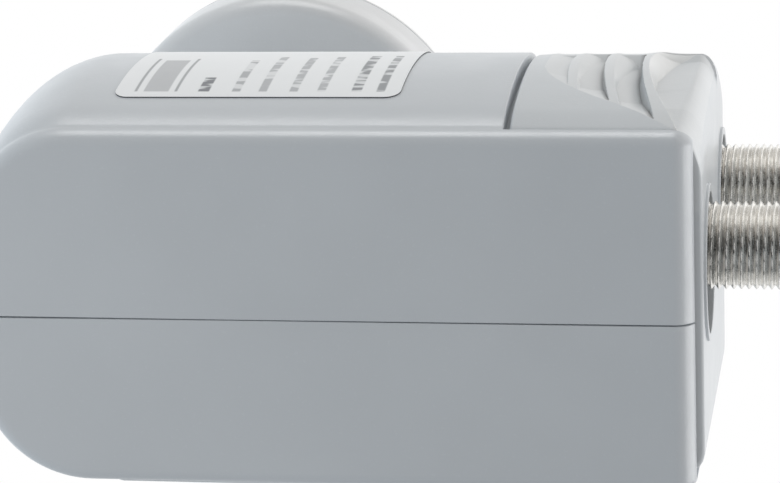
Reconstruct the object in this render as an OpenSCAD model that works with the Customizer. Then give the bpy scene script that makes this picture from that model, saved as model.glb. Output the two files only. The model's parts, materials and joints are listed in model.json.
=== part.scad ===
// Satellite LNB with two threaded outputs and a weather slide.
// Millimetres. +Z is up with the outputs pointing down, +Y runs along the horn towards the dish,
// +X is the label side. The origin is on the horn axis, half way along the clamp neck.

/* [Housing] */
// Height of the housing from its crown to the output end
body_len = 78; // [72:0.5:86]
// Height of the crown above the horn axis
crown_rise = 23.7; // [22.5:0.1:26]
// Depth of the housing from its flat back to its front
body_depth = 41; // [38:0.5:46]
// Parting plane to the back edge of the label side
label_side = 20.8; // [20:0.1:22]
// Parting plane to the face of the plain side
plain_side = 19; // [18.6:0.1:21]
// Radius of the arched label side
arch_r = 52; // [46:1:60]
// Height of the arch's ridge above the parting plane
ridge = 23.65; // [23.4:0.05:24]
// Distance of the arch's ridge from the flat back
arch_at = 17; // [16:0.5:18]
// Radius of the shoulder between the flat back and the arch
shoulder_r = 10; // [8:0.5:14]
// Radius of the two crown corners
crown_r = 12; // [8:0.5:14]
// Radius of the label side's front corner
front_r = 18; // [16:0.5:19]
// Rounding of the housing's back edges
edge_r = 1.8; // [1:0.1:2.4]
// Rounding of the front edge at the plain side and the crown
front_edge_r = 4; // [2:0.5:5]
// Wall of the two shells
wall = 1.5; // [1.3:0.1:1.8]
// Height of the raised panel on the plain side
panel_rise = 0.8; // [0.4:0.1:1.2]

/* [Weather slide] */
// Length of the slide's outer plate along the housing
slide_len = 18.6; // [17:0.1:20]
// Slot between the fixed shell and the slide's outer plate
slot_w = 0.95; // [0.6:0.05:1.4]
// Thickness of the slide's outer plate
plate_t = 3.4; // [3:0.1:3.6]
// Wall of the slide's inner sleeve
sleeve_t = 1.3; // [1.1:0.1:1.5]
// Length of the sleeve inside the housing
sleeve_len = 23; // [22:0.5:24]
// How far the slide's end wall stands out of the housing when it is in
end_proud = 0.9; // [0.6:0.1:1.4]
// Thickness of the slide's end wall
end_t = 2; // [1.6:0.1:2.4]
// Running gap between the slide's walls and the shells
slide_gap = 0.3; // [0.25:0.05:0.4]
// Rounding of the end wall's edges
end_edge_r = 1; // [0.6:0.1:1.2]

/* [Grip] */
// Number of scalloped steps beside the thumb hollow
step_count = 3; // [2:1:3]
// Pitch of the steps
step_pitch = 3.3; // [2.8:0.1:3.4]
// Depth of each step at its wall
step_depth = 1; // [0.6:0.1:1.2]
// Radius of the thumb hollow's rim
thumb_r = 14.2; // [12:0.2:15]
// Depth of the thumb hollow at its inner end
thumb_depth = 1.3; // [0.8:0.1:1.6]
// Radius with which the thumb hollow rolls over the end
roll_r = 9; // [7:0.5:10]
// How far the steps' centre lies beyond the housing's end
grip_beyond = 6.5; // [5:0.5:8]
// Distance of the steps' centre from the flat back
grip_at = 13.5; // [12:0.5:17]

/* [Outputs] */
// Outer radius of the output thread
thread_r = 4.7; // [4.6:0.05:4.8]
// Free length of each output below the slide
thread_len = 11; // [8:0.5:13]
// Distance of the first output from the flat back
port_at = 9.4; // [9.2:0.1:9.8]
// Distance of the second output from the front
port_front = 8.7; // [8.5:0.1:9.4]
// Height of the outputs above the parting plane
port_x = 6; // [5:0.1:6.5]
// Length of each oblong opening in the slide's end
hole_len = 15.6; // [14:0.1:16.4]
// Width of each oblong opening
hole_w = 12; // [11:0.1:12.2]
// Width of the rim around each opening
rim_w = 0.7; // [0.5:0.1:0.8]
// Height of that rim
rim_h = 0.35; // [0.2:0.05:0.6]
// Offset of the openings from the outputs towards the plain side
hole_shift = 1.9; // [0.5:0.1:2]

/* [Neck and horn] */
// Length of the clamp neck between the housing and the horn
neck_len = 14; // [13:0.5:18]
// Outer radius of the clamp neck
neck_r = 11.5; // [11.3:0.1:12.5]
// Wall of the neck sleeve
neck_sleeve_t = 1.1; // [0.9:0.1:1.4]
// Bore radius of the waveguide
guide_r = 8.75; // [8.4:0.05:9]
// Outer radius of the horn shroud
shroud_r = 22.6; // [22:0.1:25]
// Rounding of the shroud's back edge
shroud_edge_r = 1.9; // [1:0.1:2.4]
// Length of the shroud's straight side
shroud_side = 6.3; // [5.5:0.1:9]
// Wall of the shroud and the cap
cap_t = 1.5; // [1.2:0.1:1.8]
// Rise of the cap's domed front
cap_dome = 2.2; // [1:0.1:4]
// Number of choke grooves in the horn
choke_count = 2; // [1:1:3]

/* [Inside] */
// Wall of the cast chassis
cast_wall = 1.6; // [1.4:0.1:2]
// Thickness of the circuit board
board_t = 0.8; // [0.6:0.1:1]
// Thickness of the shield lid
lid_t = 1.2; // [1:0.1:1.6]
// Thickness of the gasket under the lid
gasket_t = 0.5; // [0.4:0.1:0.8]
// Radius of the lid screws' shanks
screw_r = 1; // [0.9:0.05:1.2]

/* [Label] */
// Length of the label along the housing
label_len = 31; // [26:0.5:34]
// Thickness of the label
label_t = 0.15; // [0.1:0.05:0.2]
// Slot edge of the shell to the label
label_from_slot = 11.7; // [9:0.1:13]

/* [Hidden] */
$fn = 96;
small = 0.01;

// Housing planes
y_back = -neck_len / 2 - body_depth;
y_front = -neck_len / 2;
z_end = crown_rise - body_len;
z_top = crown_rise;
x_ridge = ridge;
arch_centre = [x_ridge - arch_r, y_back + arch_at];

// Front corner: its circle touches the arch from inside and the front plane
front_run = y_front - front_r - arch_centre[1];
front_rise = sqrt((arch_r - front_r) * (arch_r - front_r) - front_run * front_run);
front_centre = [arch_centre[0] + front_rise, y_front - front_r];
front_lean = front_run / (arch_r - front_r);

// Shoulder: its circle touches the arch from inside and meets the back edge at label_side
shoulder_from = [label_side - arch_centre[0], y_back + edge_r - arch_centre[1]];
shoulder_d = norm(shoulder_from);
shoulder_c = arch_r - shoulder_r;
shoulder_along = (shoulder_d * shoulder_d + shoulder_c * shoulder_c - shoulder_r * shoulder_r)
    / (2 * shoulder_d);
shoulder_side = sqrt(shoulder_c * shoulder_c - shoulder_along * shoulder_along);
shoulder_unit = shoulder_from / shoulder_d;
shoulder_centre = arch_centre + shoulder_unit * shoulder_along
    + [-shoulder_unit[1], shoulder_unit[0]] * shoulder_side;
shoulder_lean = (shoulder_centre[1] - arch_centre[1]) / shoulder_c;
arc_overlap = 1.2;

// Weather slide
z_plate = z_end + slide_len;
z_slot = z_plate + slot_w;
z_out = z_end - end_proud;
sleeve_in = wall + slide_gap;
floor_in = plate_t + slide_gap;
floor_t = 1.3;
plate_x = 8;
z_floor = z_out + end_t + slide_gap;
near_edge_x = label_side - edge_r;

// Grip
grip_centre = [y_back + grip_at, z_end - grip_beyond];
step_first = thumb_r + 0.9;

// Outputs
port_ys = [y_back + port_at, y_front - port_front];
hole_x = port_x - hole_shift;
flange_r = 5.8;
flange_t = 2.4;
seal_t = 1.2;
shank_r = thread_r - 0.3;
z_run = z_out + end_t + 0.2;
z_thread = z_out - thread_len;

// Chassis
box_x = [-12.5, 10.5];
box_y = [y_back + 5, y_front - 5.5];
box_z = [z_end + 14.3, 13.5];
tube_r = neck_r - neck_sleeve_t;
tube_gap = 0.05;
guide_back = box_y[0] + 6;
boss_r = 2.2;
low_boss_in = 9.5;
contact_r = 0.68;
inner_gap = 0.3;
board_x = port_x - contact_r - 0.05 - board_t;
board_z = [box_z[0] + 2 * boss_r + inner_gap, -tube_r - 0.8];
board_h = board_z[1] - board_z[0];
board_y = [box_y[0] + cast_wall + 0.3, box_y[1] - cast_wall - 0.3];
lid_x = box_x[1] + gasket_t;
probe_x = board_x + board_t + 0.6;
screw_len = 6;
screw_head_r = 1.9;
screw_head_t = 1.2;

// Horn
y_shroud = neck_len / 2;
horn_gap = 0.3;
horn_back_t = 1.4;
y_horn = y_shroud + cap_t + horn_gap;
horn_r = shroud_r - 2 * cap_t - 0.2;
y_rim = y_shroud + shroud_edge_r + shroud_side;
choke_w = 2.2;
choke_wall = 1.2;

// Rectangle with its own radius at each corner: [low low, high low, high high, low high]
module soft_rect(lo, hi, r) {
    corners = [[lo[0], lo[1]], [hi[0], lo[1]], [hi[0], hi[1]], [lo[0], hi[1]]];
    inward = [[1, 1], [-1, 1], [-1, -1], [1, -1]];
    difference() {
        translate(lo) square([hi[0] - lo[0], hi[1] - lo[1]]);
        for (i = [0:3])
            if (r[i] > 0)
                difference() {
                    translate(corners[i] + inward[i] * r[i] / 2 - inward[i] * small / 2)
                        square(r[i] + small, center = true);
                    translate(corners[i] + inward[i] * r[i]) circle(r[i]);
                }
    }
}

// Housing's section across its length, drawn in X and Y, all walls moved inwards by inset
module housing_section(inset = 0) {
    back_r = max(edge_r - inset, 0.3);
    plain_r = max(front_edge_r - inset, 0.5);
    y_a = arch_centre[1] + (arch_r - inset) * shoulder_lean + arc_overlap;
    y_b = arch_centre[1] + (arch_r - inset) * front_lean - arc_overlap;
    union() {
        soft_rect([-plain_side + inset, y_back + inset], [front_centre[0], y_front - inset],
            [back_r, 0, 0, plain_r]);
        soft_rect([-plain_side + inset, y_back + inset], [label_side - inset, y_b],
            [back_r, back_r, 0, 0]);
        intersection() {
            translate(front_centre) circle(front_r - inset, $fn = 144);
            translate([-plain_side + inset, y_b - 2]) square([80, 40]);
        }
        intersection() {
            translate(arch_centre) circle(arch_r - inset, $fn = 288);
            translate([0, y_a]) square([60, y_b - y_a]);
        }
        intersection() {
            translate(shoulder_centre) circle(shoulder_r - inset, $fn = 96);
            translate([0, y_back + edge_r + inset]) square([60, 30]);
        }
    }
}

// Housing's outline seen from the back, drawn in X and Z
module outline(inset = 0) {
    soft_rect([-plain_side + inset, z_end - 20], [x_ridge - inset, z_top - inset],
        [0, 0, crown_r - inset, crown_r - inset]);
}

// Housing's outline seen from the side, drawn in Y and Z
module side_outline(inset = 0) {
    soft_rect([y_back + inset, z_end - 20], [y_front - inset, z_top - inset],
        [0, 0, max(front_edge_r - inset, 0.5), max(edge_r - inset, 0.3)]);
}

// Solid of the housing from z_low up, all walls moved inwards by inset
module housing_solid(inset = 0, z_low = z_end) {
    intersection() {
        translate([0, 0, z_low]) linear_extrude(z_top - z_low) housing_section(inset);
        translate([0, y_front + 1, 0]) rotate([90, 0, 0])
            linear_extrude(body_depth + 2) outline(inset);
        translate([-plain_side - 1, 0, 0]) rotate([90, 0, 90])
            linear_extrude(plain_side + x_ridge + 2) side_outline(inset);
    }
}

// Half of space on one side of the parting plane
module half(side) {
    translate([side > 0 ? 0 : -60, y_back - 5, z_end - 30]) cube([60, body_depth + 10, body_len + 60]);
}

// Space that the slide's outer plate and its running gap take out of the label side shell
module plate_space(inset) {
    translate([plate_x - slide_gap, y_back + edge_r, z_end - 1])
        intersection() {
            cube([60, body_depth, z_slot - z_end + 1]);
            translate([-plate_x + slide_gap, -y_back - edge_r, 0]) difference() {
                linear_extrude(z_slot - z_end + 1) offset_free_square();
                translate([0, 0, -1]) linear_extrude(z_slot - z_end + 3) housing_section(inset);
            }
        }
}

// A square that holds the whole section
module offset_free_square() {
    translate([-40, y_back - 10]) square([100, body_depth + 20]);
}

// Round column along Y, for the neck and the horn
module along_y(r, y0, y1) {
    translate([0, y0, 0]) rotate([-90, 0, 0]) cylinder(r = r, h = y1 - y0);
}

module shell_half(side) {
    intersection() {
        difference() {
            housing_solid();
            difference() {
                housing_solid(wall, z_end - 2);
                if (side > 0) plate_floor();
            }
            if (side > 0) plate_space(floor_in);
            along_y(neck_r + 0.2, y_front - 5, y_front + 5);
        }
        half(side);
    }
}

// Recessed floor under the slide's outer plate, and the step that closes it at the slot
module plate_floor() {
    difference() {
        union() {
            intersection() {
                difference() {
                    housing_solid(floor_in, z_end - 2);
                    housing_solid(floor_in + floor_t, z_end - 3);
                }
                translate([port_x + flange_r + 0.8, y_back + sleeve_in + sleeve_t + slide_gap, z_floor])
                    cube([40, body_depth - 2 * (sleeve_in + sleeve_t + slide_gap), z_slot + 3 - z_floor]);
            }
            intersection() {
                difference() {
                    housing_solid(wall - small, z_slot);
                    housing_solid(floor_in + floor_t, z_slot - 1);
                }
                translate([plate_x - 2, y_back, z_slot]) cube([40, body_depth, 2]);
            }
        }
        // room for the chassis and its lid
        translate([0, box_y[0] - inner_gap, box_z[0] - inner_gap])
            cube([lid_x + lid_t + inner_gap, box_y[1] - box_y[0] + 2 * inner_gap, 60]);
    }
}

// Posts that hold the chassis between the shells
module posts(side) {
    x0 = side > 0 ? lid_x + lid_t : -plain_side + wall - small;
    x1 = side > 0 ? x_ridge - wall : box_x[0];
    for (y = [box_y[0] + 7, box_y[1] - 7], z = [box_z[0] + 14, box_z[1] - 7])
        intersection() {
            translate([x0, y, z]) rotate([0, 90, 0]) cylinder(r = 1.8, h = x1 - x0 + (side > 0 ? 3 : 0), $fn = 32);
            housing_solid(wall - small * 2);
        }
}

module label_side_shell() {
    color("#b4bcc4") union() {
        shell_half(1);
        intersection() {
            posts(1);
            half(1);
        }
    }
}

module plain_side_shell() {
    color("#a6afb8") union() {
        shell_half(-1);
        posts(-1);
        translate([-plain_side - panel_rise, y_back + 4, z_end + 6])
            cube([panel_rise + small, body_depth - 12, body_len - 20]);
    }
}

module label() {
    z0 = z_slot + label_from_slot;
    z1 = min(z0 + label_len, z_top - crown_r - 1);
    color("#dde2e6") intersection() {
        difference() {
            translate([0, 0, z0]) linear_extrude(z1 - z0) housing_section(-label_t);
            translate([0, 0, z0 - 1]) linear_extrude(z1 - z0 + 2) housing_section(0);
        }
        translate([5, 0, 0]) rotate([90, 0, 90]) linear_extrude(30)
            soft_rect([y_back + 6.8, z0], [y_front - 6.2, z1], [2, 2, 2, 2]);
    }
}

// Steps around the thumb hollow: a saw tooth turned about an axis that stands on the label side
module grip_steps() {
    translate([x_ridge - step_depth, grip_centre[0], grip_centre[1]]) rotate([0, 90, 0])
        for (i = [0:step_count - 1]) {
            r0 = step_first + i * step_pitch;
            rotate_extrude()
                polygon([[r0 + 0.9, 0], [r0 + step_pitch, step_depth * 0.92],
                    [r0 + step_pitch, step_depth + 2], [r0 + 0.7, step_depth + 2]]);
        }
}

// Thumb hollow: a round recess whose floor rolls over the end of the slide
module thumb_hollow() {
    difference() {
        translate([0, grip_centre[0], grip_centre[1]]) rotate([0, 90, 0])
            cylinder(r = thumb_r, h = x_ridge + 10);
        translate([x_ridge - thumb_depth - roll_r, y_back - 5, z_out + roll_r]) rotate([-90, 0, 0])
            cylinder(r = roll_r, h = body_depth + 10);
        translate([-40, y_back - 5, z_out + roll_r])
            cube([40 + x_ridge - thumb_depth, body_depth + 10, 20]);
        translate([-40, y_back - 5, z_out - 20])
            cube([40 + x_ridge - thumb_depth - roll_r, body_depth + 10, 60]);
    }
}

// One oblong opening, drawn in X and Y around its own centre
module oblong(len, w) {
    straight = (len - w) / 2;
    square([2 * straight, w], center = true);
    for (s = [-1, 1]) translate([s * straight, 0]) circle(w / 2);
}

// Outline of the slide's sleeve: inside the back, plain and front walls of the housing
module sleeve_section(inset = 0) {
    intersection() {
        housing_section(sleeve_in + inset);
        translate([-40, y_back]) square([40 + near_edge_x - inset, body_depth]);
    }
}

module weather_slide() {
    color("#bcc3c9") difference() {
        union() {
            // outer plate on the label side, flush with the housing
            difference() {
                translate([0, 0, z_out]) linear_extrude(z_plate - z_out) housing_section(0);
                translate([0, 0, z_out + end_t]) linear_extrude(slide_len + 10) housing_section(plate_t);
                translate([-60, y_back - 5, z_out - 5]) cube([60 + plate_x, body_depth + 10, 60]);
                translate([-60, y_back - 5, z_out - 5]) cube([120, 5 + edge_r + slide_gap, 60]);
            }
            // sleeve
            difference() {
                translate([0, 0, z_out]) linear_extrude(sleeve_len + end_proud) sleeve_section();
                translate([0, 0, z_out + end_t]) linear_extrude(sleeve_len + 5)
                    intersection() {
                        housing_section(sleeve_in + sleeve_t);
                        translate([-40, y_back]) square([100, body_depth]);
                    }
                translate([plate_x, y_back + sleeve_in + sleeve_t, z_out + end_t])
                    cube([40, body_depth, 60]);
                translate([plate_x - 2 - slide_gap, y_back - 1, z_slot - slide_gap])
                    cube([40, body_depth + 2, 60]);
            }
            // rims around the two openings
            for (y = port_ys)
                translate([hole_x, y, z_out - rim_h]) linear_extrude(rim_h + small)
                    oblong(hole_len + 2 * rim_w, hole_w + 2 * rim_w);
        }
        for (y = port_ys)
            translate([hole_x, y, z_out - 5]) linear_extrude(20) oblong(hole_len, hole_w);
        // room for the outputs' flanges
        for (y = port_ys)
            translate([port_x, y, z_out + end_t]) cylinder(r = flange_r + slide_gap, h = sleeve_len + 5);
        grip_steps();
        thumb_hollow();
    }
}

// Cast box that holds the board, with a round hole for the feed horn's tube
module chassis() {
    color("#a9a9a6") difference() {
        translate([box_x[0], box_y[0], box_z[0]])
            cube([box_x[1] - box_x[0], box_y[1] - box_y[0], box_z[1] - box_z[0]]);
        difference() {
            translate([box_x[0] + cast_wall, box_y[0] + cast_wall, box_z[0] + cast_wall])
                cube([40, box_y[1] - box_y[0] - 2 * cast_wall, box_z[1] - box_z[0] - 2 * cast_wall]);
            // ledges under the board
            translate([box_x[0], box_y[0], box_z[0]])
                cube([board_x - box_x[0], cast_wall + 1.2, box_z[1] - box_z[0]]);
            translate([box_x[0], box_y[1] - cast_wall - 1.2, box_z[0]])
                cube([board_x - box_x[0], cast_wall + 1.2, box_z[1] - box_z[0]]);
            lid_bosses();
        }
        along_y(tube_r + tube_gap, guide_back - cast_wall - inner_gap, y_front);
        for (p = lid_screw_places())
            translate([box_x[1] - screw_len, p[0], p[1]]) rotate([0, 90, 0])
                cylinder(r = screw_r, h = screw_len + 1, $fn = 32);
        for (y = port_ys)
            translate([port_x, y, box_z[0] - 1]) cylinder(r = 2.6, h = cast_wall + 2, $fn = 48);
    }
}

// Waveguide tube, closed at its back, with the choke horn at its front
module feed_horn() {
    color("#b0b0ad") union() {
        difference() {
            along_y(tube_r, guide_back - cast_wall, y_horn + horn_back_t);
            along_y(guide_r, guide_back, y_horn + horn_back_t + 1);
            // ways for the two probes into the guide
            for (i = [0, 1])
                translate([probe_x, probe_y(i), -tube_r - 2]) cylinder(r = 1.3, h = 8, $fn = 32);
        }
        choke_horn();
    }
}

function probe_y(i) = guide_back + 6 + 8 * i;

function lid_screw_places() = [
    [box_y[0] + boss_r, box_z[1] - boss_r],
    [box_y[1] - boss_r, box_z[1] - boss_r],
    [box_y[0] + low_boss_in, box_z[0] + boss_r],
    [box_y[1] - low_boss_in, box_z[0] + boss_r]];

// Bosses for the lid screws: two in the upper corners, two between the outputs
module lid_bosses() {
    for (p = lid_screw_places())
        translate([box_x[0], p[0], p[1]]) rotate([0, 90, 0]) cylinder(r = boss_r, h = box_x[1] - box_x[0], $fn = 40);
}

// Flat backed horn with concentric choke rings around the guide's mouth
module choke_horn() {
    translate([0, y_horn, 0]) rotate([-90, 0, 0]) difference() {
        cylinder(r = horn_r, h = shroud_side);
        translate([0, 0, -1]) cylinder(r = guide_r, h = shroud_side + 2);
        for (i = [0:choke_count - 1]) {
            r0 = guide_r + choke_wall + 0.6 + i * (choke_w + choke_wall);
            translate([0, 0, horn_back_t]) difference() {
                cylinder(r = r0 + choke_w, h = shroud_side);
                translate([0, 0, -1]) cylinder(r = r0, h = shroud_side + 2);
            }
        }
    }
}

module lid_outline() {
    translate([box_y[0], box_z[0]]) square([box_y[1] - box_y[0], box_z[1] - box_z[0]]);
}

// A flat sheet that lies across the box, drawn in Y and Z
module sheet_x(x, t) {
    translate([x, 0, 0]) rotate([90, 0, 90]) linear_extrude(t) children();
}

module screw_holes(r) {
    for (p = lid_screw_places()) translate(p) circle(r, $fn = 32);
}

module shield_lid() {
    color("#c2c4c4") union() {
        sheet_x(lid_x, lid_t) difference() {
            lid_outline();
            screw_holes(screw_r + 0.15);
        }
        // partition that stands between the mixer and the output amplifiers
        translate([board_x + board_t + 2.2, box_y[0] + 8, box_z[0] + 12])
            cube([lid_x - board_x - board_t - 2.2 + small, box_y[1] - box_y[0] - 16, 0.8]);
    }
}

module lid_gasket() {
    color("#3a3a3c") sheet_x(box_x[1], gasket_t) difference() {
        lid_outline();
        difference() {
            translate([box_y[0] + cast_wall, box_z[0] + cast_wall])
                square([box_y[1] - box_y[0] - 2 * cast_wall, box_z[1] - box_z[0] - 2 * cast_wall]);
            screw_holes(boss_r);
        }
        screw_holes(screw_r + 0.15);
    }
}

module lid_screws() {
    color("#8f9194") for (p = lid_screw_places())
        translate([lid_x + lid_t, p[0], p[1]]) rotate([0, -90, 0]) {
            difference() {
                translate([0, 0, -screw_head_t]) cylinder(r = screw_head_r, h = screw_head_t, $fn = 40);
                for (a = [0, 90]) rotate(a) translate([-1.1, -0.25, -screw_head_t - 1]) cube([2.2, 0.5, 1.6]);
            }
            cylinder(r = screw_r - 0.02, h = lid_t + gasket_t + screw_len - 1, $fn = 32);
        }
}

module circuit_board() {
    color("#3f6b4c") translate([board_x, board_y[0], board_z[0]])
        cube([board_t, board_y[1] - board_y[0], board_z[1] - board_z[0]]);
}

module on_board(y, z, size) {
    translate([board_x + board_t, y - size[1] / 2, z - size[2] / 2]) cube(size);
}

board_mid_y = (board_y[0] + board_y[1]) / 2;

module converter_chip() {
    color("#2b2c2f") on_board(board_mid_y, board_z[0] + 0.62 * board_h, [1, 5, 5]);
}

module regulator() {
    color("#2b2c2f") union() {
        on_board(board_mid_y, board_z[0] + 0.17 * board_h, [1.6, 6.5, 3.5]);
        on_board(board_mid_y, board_z[0] + 0.17 * board_h + 2.7, [0.4, 3, 2.2]);
    }
}

module transistors() {
    color("#232427") for (y = [board_mid_y - 9, board_mid_y + 9], z = [board_z[1] - 2.5, board_z[1] - 6.5])
        on_board(y, z, [1, 2, 1.3]);
}

module capacitors() {
    color("#b08d57") for (y = [board_mid_y - 8.6, board_mid_y + 8.6], i = [0:3])
        on_board(y, board_z[0] + (0.12 + 0.11 * i) * board_h, [1.1, 2, 1.2]);
}

module resonators() {
    color("#d8cbb2") for (y = [board_mid_y - 5, board_mid_y + 5])
        translate([board_x + board_t, y, board_z[1] - 4.5]) rotate([0, 90, 0])
            cylinder(r = 2.3, h = 1.9, $fn = 48);
}

// Threaded output: flange on the chassis, barrel through the slide, open mouth with its bore
module output(y) {
    color("#b9b7b2") translate([port_x, y, 0]) difference() {
        union() {
            translate([0, 0, box_z[0] - flange_t]) cylinder(r = flange_r, h = flange_t, $fn = 6);
            translate([0, 0, z_thread + 0.6]) cylinder(r = thread_r, h = z_run - z_thread - 0.6);
            translate([0, 0, z_run - small]) cylinder(r = shank_r, h = box_z[0] - z_run + small);
            translate([0, 0, z_thread]) cylinder(r1 = thread_r - 0.5, r2 = thread_r, h = 0.6);
        }
        translate([0, 0, z_thread - 1]) cylinder(r = 2.6, h = 70);
        translate([0, 0, z_thread - 1]) cylinder(r = 3.6, h = 4);
    }
}

module output_near() { output(port_ys[0]); }
module output_far() { output(port_ys[1]); }

// Insulator inside the output, with the hole that the cable's core goes into
module insulator(y) {
    color("#f2f2ee") translate([port_x, y, 0]) difference() {
        translate([0, 0, z_thread + 1]) cylinder(r = 2.58, h = box_z[0] + cast_wall - z_thread - 1, $fn = 48);
        translate([0, 0, z_thread]) cylinder(r = 0.7, h = 70, $fn = 32);
    }
}

module insulator_near() { insulator(port_ys[0]); }
module insulator_far() { insulator(port_ys[1]); }

// Spring contact inside the insulator, with its tail on the board
module contact(y) {
    color("#c9a94f") translate([port_x, y, 0]) difference() {
        translate([0, 0, z_thread + 2.5]) cylinder(r = contact_r, h = board_z[0] + 1.8 - z_thread - 2.5, $fn = 32);
        translate([0, 0, z_thread + 2]) cylinder(r = 0.42, h = 9, $fn = 32);
    }
}

module contact_near() { contact(port_ys[0]); }
module contact_far() { contact(port_ys[1]); }

module output_seals() {
    color("#2c2c2e") for (y = port_ys)
        translate([port_x, y, box_z[0] - flange_t - seal_t]) difference() {
            cylinder(r = flange_r - 0.6, h = seal_t);
            translate([0, 0, -1]) cylinder(r = shank_r + 0.02, h = seal_t + 2);
        }
}

// Probe pin: from the board through its bead into the guide
module probe(y, reach) {
    color("#c9a94f") translate([probe_x, y, board_z[1] - 2])
        cylinder(r = 0.4, h = reach + 2 - board_z[1], $fn = 24);
}

module probe_upright() { probe(probe_y(1), -3.5); }
module probe_level() { probe(probe_y(0), -3.5); }

module probe_beads() {
    color("#f2f2ee") for (i = [0, 1])
        translate([probe_x, probe_y(i), -tube_r + 0.6]) difference() {
            cylinder(r = 1.28, h = 1.4, $fn = 32);
            translate([0, 0, -1]) cylinder(r = 0.42, h = 4, $fn = 24);
        }
}

module neck_sleeve() {
    color("#b4bcc4") difference() {
        along_y(neck_r, y_front - wall - 1.5, y_shroud);
        along_y(tube_r + tube_gap, y_front - wall - 3, y_shroud + 1);
    }
}

module neck_seal() {
    color("#2c2c2e") difference() {
        along_y(neck_r, box_y[1], y_front - wall - 1.5);
        along_y(tube_r + tube_gap, box_y[1] - 1, y_front - wall);
    }
}

// Cup behind the horn: flat back, rounded edge, straight side
module horn_shroud() {
    color("#b9bec2") difference() {
        translate([0, y_shroud, 0]) rotate([-90, 0, 0]) rotate_extrude($fn = 128) difference() {
            union() {
                translate([0, shroud_edge_r]) square([shroud_r, y_rim - y_shroud - shroud_edge_r]);
                square([shroud_r - shroud_edge_r, shroud_edge_r + small]);
                translate([shroud_r - shroud_edge_r, shroud_edge_r]) circle(shroud_edge_r);
            }
            translate([-5, -5]) square([5, 40]);
            translate([0, cap_t]) square([shroud_r - cap_t, 40]);
        }
        along_y(tube_r + tube_gap, y_shroud - 1, y_shroud + 5);
    }
}

// Domed front cap that snaps into the shroud
module horn_cap() {
    dome_r = (shroud_r * shroud_r + cap_dome * cap_dome) / (2 * cap_dome);
    color("#c6cbcf") translate([0, y_rim, 0]) rotate([-90, 0, 0]) rotate_extrude($fn = 128) {
        intersection() {
            difference() {
                translate([0, cap_dome + 1 - dome_r]) circle(dome_r, $fn = 720);
                translate([0, cap_dome + 1 - cap_t - dome_r]) circle(dome_r, $fn = 720);
            }
            square([shroud_r, 20]);
        }
        translate([shroud_r - 2 * cap_t, 0]) square([2 * cap_t, 1]);
        translate([shroud_r - 2 * cap_t + 0.1, -2.4]) square([cap_t - 0.2, 2.5]);
    }
}

module cap_seal() {
    color("#2c2c2e") translate([0, y_rim - 3.4, 0]) rotate([-90, 0, 0]) difference() {
        cylinder(r = shroud_r - cap_t - 0.05, h = 1);
        translate([0, 0, -1]) cylinder(r = horn_r + 0.05, h = 3);
    }
}

label_side_shell();
plain_side_shell();
label();
weather_slide();
chassis();
feed_horn();
shield_lid();
lid_gasket();
lid_screws();
circuit_board();
converter_chip();
regulator();
transistors();
capacitors();
resonators();
output_near();
output_far();
insulator_near();
insulator_far();
contact_near();
contact_far();
output_seals();
probe_upright();
probe_level();
probe_beads();
neck_sleeve();
neck_seal();
horn_shroud();
horn_cap();
cap_seal();
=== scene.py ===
"""Satellite LNB: moulded housing, weather slide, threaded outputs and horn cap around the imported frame.

All numbers are millimetres in the frame's own axes (+X label side, +Y along the horn, +Z up) and
become metres when a mesh is made."""

import json

import bmesh
import bpy
import numpy as np
from mathutils import Matrix


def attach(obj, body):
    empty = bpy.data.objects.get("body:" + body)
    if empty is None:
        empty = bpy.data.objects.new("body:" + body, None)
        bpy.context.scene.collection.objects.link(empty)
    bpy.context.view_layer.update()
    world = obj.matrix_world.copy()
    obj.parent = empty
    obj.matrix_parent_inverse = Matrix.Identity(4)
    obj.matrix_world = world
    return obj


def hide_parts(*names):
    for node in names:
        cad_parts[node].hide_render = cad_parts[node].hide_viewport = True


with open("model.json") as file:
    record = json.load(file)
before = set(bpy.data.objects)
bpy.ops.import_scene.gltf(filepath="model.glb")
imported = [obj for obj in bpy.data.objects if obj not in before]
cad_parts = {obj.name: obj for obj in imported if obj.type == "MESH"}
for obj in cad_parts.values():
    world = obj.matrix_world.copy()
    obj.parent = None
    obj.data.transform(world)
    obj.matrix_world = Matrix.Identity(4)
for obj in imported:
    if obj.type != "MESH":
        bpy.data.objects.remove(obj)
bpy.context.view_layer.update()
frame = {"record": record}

MM = 0.001

# Housing: its back and front, end and crown, and its sides, the label side at its edge and at its ridge
Y_BACK, Y_FRONT = -48.0, -7.0
Z_END, Z_TOP = -54.3, 23.7
PLAIN, LABEL_SIDE, RIDGE = 19.0, 20.8, 23.65
ARCH_R, ARCH_AT, SHOULDER_R = 52.0, 17.0, 10.0
CROWN_R, FRONT_R = 12.0, 18.0
EDGE_R, FRONT_EDGE_R = 1.8, 4.0
WALL = 1.5
# Parting edge: its radius, how deep the gap is, and half the gap by height
PART_R, PART_DEPTH = 0.08, 0.9
HALF_GAP = ((Z_END, -5.0, Z_TOP), (0.085, 0.05, 0.10))
# Output end: radius and turn of its rolled edge, the step behind the edge and the inner wall's height
END_R, END_TURN, END_STEP, END_WALL = 2.4, np.radians(62), 0.12, 26.0
# Raised panel: height, rolled margin, rounding of its corners, how deep its border sits, and its limits
PANEL, PANEL_EDGE, PANEL_CORNER, PANEL_SUNK = 0.79, 1.1, 0.4, 0.02
PANEL_Y, PANEL_Z = (-46.0, -15.2), (-48.2, 9.6)
# Points round the crown corner and from there to the parting plane
CROWN_COLS, TOP_COLS = 30, 14

# Slot: its edge, the radius and depth of its lips, the depth of the ledge in it and of the slide's floor
Z_SLOT, LIP, SLOT_DEPTH, LEDGE_IN, FLOOR_IN = -34.77, 0.12, 4.2, 1.9, 3.75

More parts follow.
